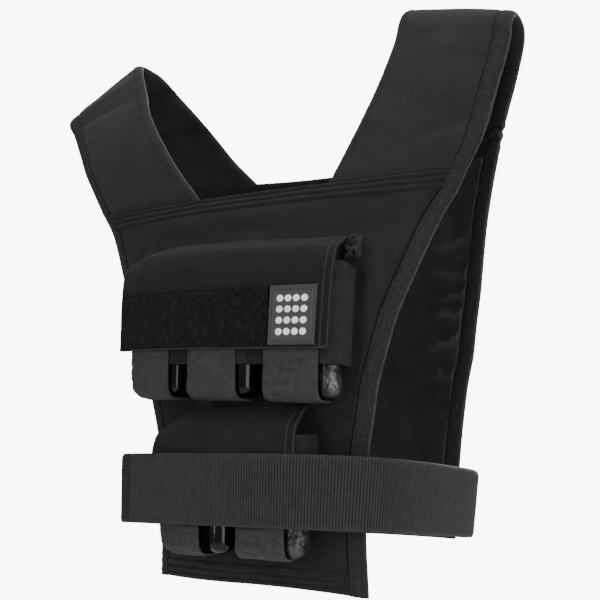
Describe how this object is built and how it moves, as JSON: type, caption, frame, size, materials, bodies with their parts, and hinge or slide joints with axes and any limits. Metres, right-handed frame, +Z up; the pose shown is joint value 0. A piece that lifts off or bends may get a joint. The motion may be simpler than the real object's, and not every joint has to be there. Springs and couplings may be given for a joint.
{
  "type": "weighted vest",
  "caption": "Padded front-and-back weighted vest with wide shoulder straps, steel bars in ribbed elastic sleeves under hook-and-loop flaps, and a ribbed waist belt.",
  "frame": {"origin": "shoulder rest: the middle of where the two straps lie on the shoulders, under their folds", "axes": "+Z up as worn, -Y towards the wearer's front, +X towards the wearer's left"},
  "size_m": [0.5403, 0.2664, 0.5427],
  "materials": {
    "cloth": "matt padded black cloth",
    "strap_cloth": "matt padded black cloth",
    "binding": "woven black tape",
    "elastic": "ribbed black elastic",
    "webbing": "ribbed black webbing",
    "hook_and_loop": "black pile",
    "patch_rubber": "matt grey rubber",
    "bar_steel": "glossy black coated steel"
  },
  "bodies": {
    "root": {"front_panel": "cloth", "back_panel": "cloth", "front_hem_binding": "cloth", "back_hem_binding": "cloth", "front_collar_band": "cloth", "back_collar_band": "cloth", "left_shoulder_strap": "strap_cloth", "right_shoulder_strap": "strap_cloth", "left_edge_binding": "binding", "right_edge_binding": "binding", "upper_bar_1": "bar_steel", "upper_bar_2": "bar_steel", "upper_bar_3": "bar_steel", "upper_bar_4": "bar_steel", "upper_bar_5": "bar_steel", "upper_bar_6": "bar_steel", "upper_elastic_sleeve": "elastic", "upper_keeper_loop_1": "webbing", "upper_keeper_loop_2": "webbing", "upper_keeper_loop_3": "webbing", "upper_flap": "cloth", "hook_band": "hook_and_loop", "patch": "patch_rubber", "lower_bar_1": "bar_steel", "lower_bar_2": "bar_steel", "lower_bar_3": "bar_steel", "lower_bar_4": "bar_steel", "lower_elastic_sleeve": "elastic", "lower_keeper_loop_1": "webbing", "lower_keeper_loop_2": "webbing", "lower_flap": "cloth", "waist_belt": "elastic"}
  },
  "joints": []
}
